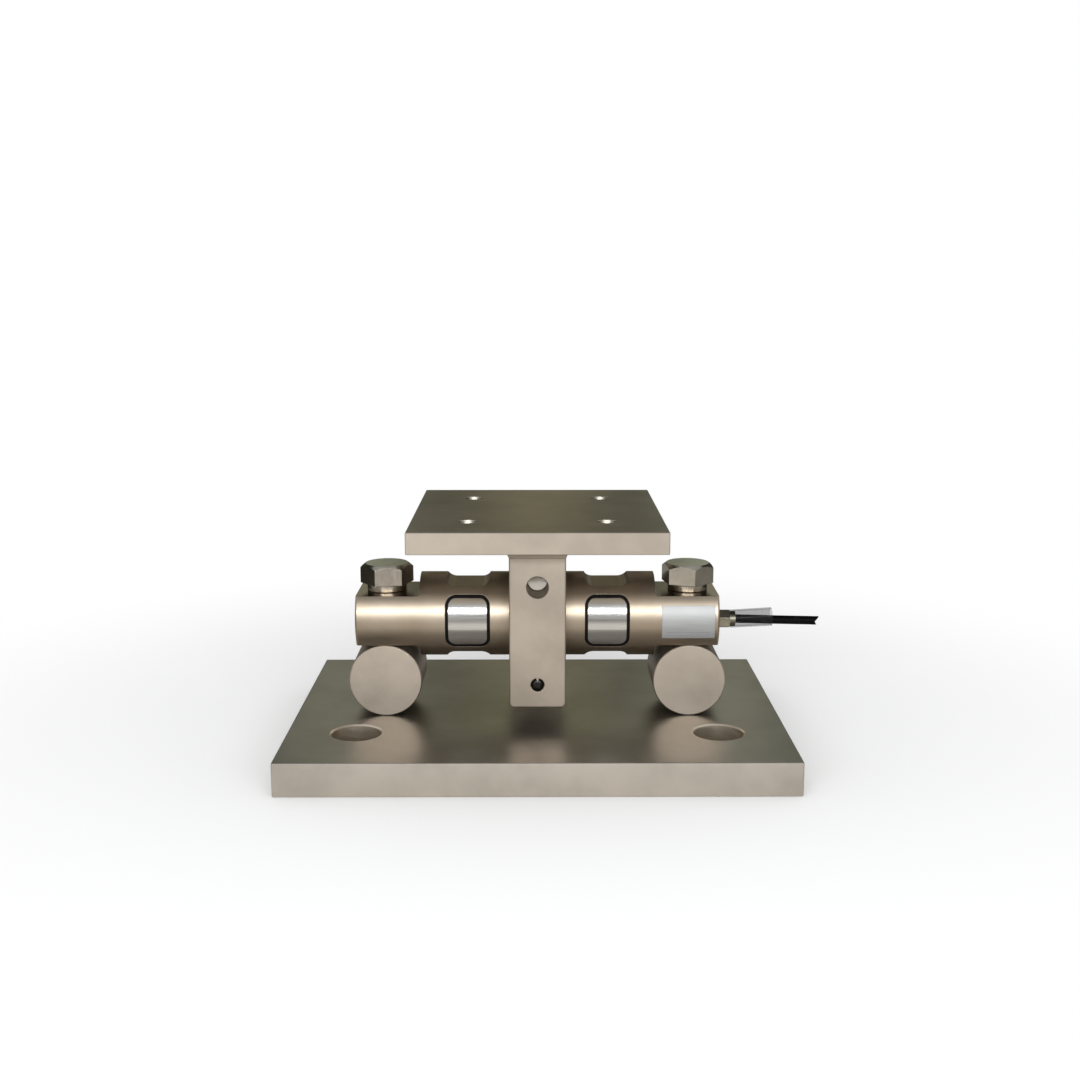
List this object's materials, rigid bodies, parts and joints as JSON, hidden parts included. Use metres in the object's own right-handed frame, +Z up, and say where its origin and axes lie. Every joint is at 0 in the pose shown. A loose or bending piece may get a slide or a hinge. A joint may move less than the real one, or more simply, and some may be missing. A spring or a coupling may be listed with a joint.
{
  "type": "tank weighing module",
  "caption": "Weighing module for a tank foot: a round double-ended shear beam on rollers over a base plate, with a pinned yoke that carries the top plate and a cable at one end.",
  "frame": {"origin": "centre of the base plate's underside, on the floor", "axes": "+X along the load cell beam towards the cable, +Y to the rear, +Z up"},
  "size_m": [0.324, 0.215, 0.1465],
  "materials": {
    "nickel_plate": "satin nickel-plated steel",
    "beam_nickel": "satin nickel-plated steel with fine turning marks",
    "bolt_steel": "bright plated steel",
    "pin_steel": "ground steel",
    "cover_steel": "brushed stainless steel",
    "sealant": "glossy black sealing compound",
    "gauge_film": "film with foil grid",
    "board": "lacquered board",
    "wire": "insulated wire bundle",
    "black_steel": "black oxide steel",
    "gland_metal": "nickel-plated brass",
    "clear_tube": "clear soft plastic",
    "cable_jacket": "satin black jacket",
    "label_foil": "matt silver foil, bare"
  },
  "bodies": {
    "base_and_cell": {"base_plate": "nickel_plate", "left_roller": "nickel_plate", "right_roller": "nickel_plate", "left_bolt": "bolt_steel", "right_bolt": "bolt_steel", "left_lock_washer": "bolt_steel", "right_lock_washer": "bolt_steel", "load_cell_body": "beam_nickel", "left_front_cover": "cover_steel", "left_rear_cover": "cover_steel", "right_front_cover": "cover_steel", "right_rear_cover": "cover_steel", "left_front_seal": "sealant", "left_rear_seal": "sealant", "right_front_seal": "sealant", "right_rear_seal": "sealant", "left_front_gauge": "gauge_film", "left_rear_gauge": "gauge_film", "right_front_gauge": "gauge_film", "right_rear_gauge": "gauge_film", "bridge_board": "board", "crossover_wires": "wire", "output_wires": "wire", "gland_body": "gland_metal", "gland_bush": "cable_jacket", "clear_sleeve": "clear_tube", "cable": "cable_jacket", "name_plate": "label_foil"},
    "rocking_top": {"yoke": "nickel_plate", "yoke_weld": "nickel_plate", "top_plate": "nickel_plate", "load_pin": "pin_steel", "keeper_pin": "black_steel"}
  },
  "joints": [
    {"name": "top_rock", "type": "hinge", "parent": "base_and_cell", "child": "rocking_top", "pos_m": [0, 0, 0.10675], "axis": [0, 1, 0], "range_deg": [-3, 3]}
  ]
}
